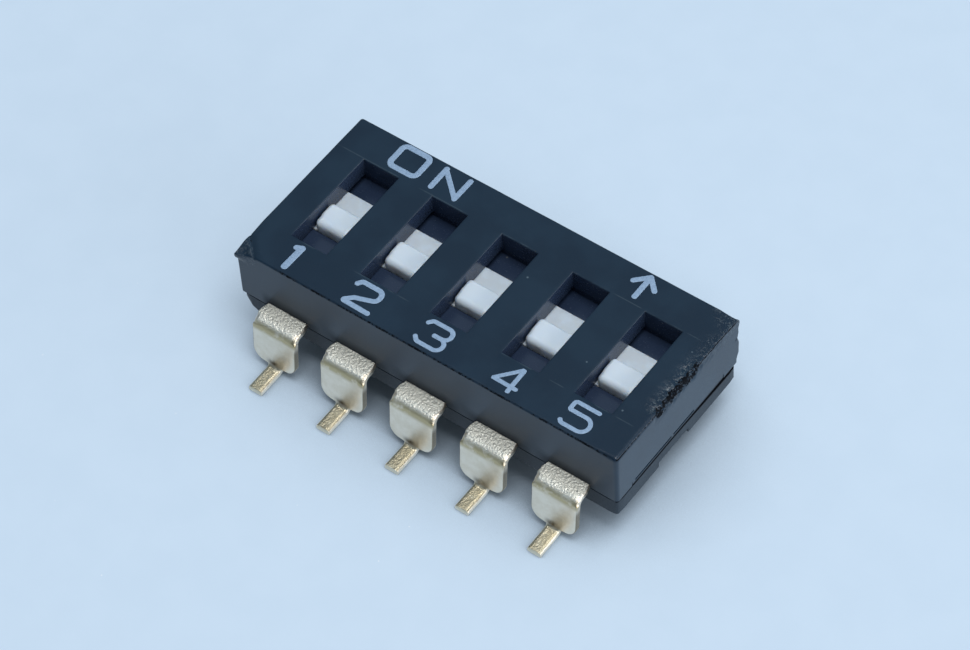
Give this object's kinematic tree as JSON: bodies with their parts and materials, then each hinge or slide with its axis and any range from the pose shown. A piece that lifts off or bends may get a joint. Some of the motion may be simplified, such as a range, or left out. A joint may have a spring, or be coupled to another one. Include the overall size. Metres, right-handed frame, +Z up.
{
  "type": "dip switch",
  "caption": "Low black surface-mount block of slide switches, with white actuators in recessed slots and pale gold gull-wing terminals along both long sides.",
  "frame": {"origin": "centre of the footprint, on the plane that the feet stand on", "axes": "+X along the row from switch 1 to switch 5, +Y towards the ON side, +Z up out of the board"},
  "size_m": [0.0136, 0.0096, 0.0038],
  "materials": {
    "housing_black": "satin black moulded plastic",
    "base_black": "satin black moulded plastic",
    "actuator_white": "smooth off-white moulded plastic",
    "terminal_gold": "pale gold plating, satin, tarnished at the bends",
    "contact_gold": "gold plating"
  },
  "bodies": {
    "housing": {"base": "base_black", "cover": "housing_black", "front_terminal_1": "terminal_gold", "front_terminal_2": "terminal_gold", "front_terminal_3": "terminal_gold", "front_terminal_4": "terminal_gold", "front_terminal_5": "terminal_gold", "back_terminal_1": "terminal_gold", "back_terminal_2": "terminal_gold", "back_terminal_3": "terminal_gold", "back_terminal_4": "terminal_gold", "back_terminal_5": "terminal_gold"},
    "switch_1": {"actuator_1": "actuator_white", "sliding_contact_1": "contact_gold"},
    "switch_2": {"actuator_2": "actuator_white", "sliding_contact_2": "contact_gold"},
    "switch_3": {"actuator_3": "actuator_white", "sliding_contact_3": "contact_gold"},
    "switch_4": {"actuator_4": "actuator_white", "sliding_contact_4": "contact_gold"},
    "switch_5": {"actuator_5": "actuator_white", "sliding_contact_5": "contact_gold"}
  },
  "joints": [
    {"name": "switch_1_slide", "type": "slide", "parent": "housing", "child": "switch_1", "axis": [0, 1, 0], "range_m": [0, 0.00085]},
    {"name": "switch_2_slide", "type": "slide", "parent": "housing", "child": "switch_2", "axis": [0, 1, 0], "range_m": [0, 0.00085]},
    {"name": "switch_3_slide", "type": "slide", "parent": "housing", "child": "switch_3", "axis": [0, 1, 0], "range_m": [0, 0.00085]},
    {"name": "switch_4_slide", "type": "slide", "parent": "housing", "child": "switch_4", "axis": [0, 1, 0], "range_m": [0, 0.00085]},
    {"name": "switch_5_slide", "type": "slide", "parent": "housing", "child": "switch_5", "axis": [0, 1, 0], "range_m": [0, 0.00085]}
  ]
}
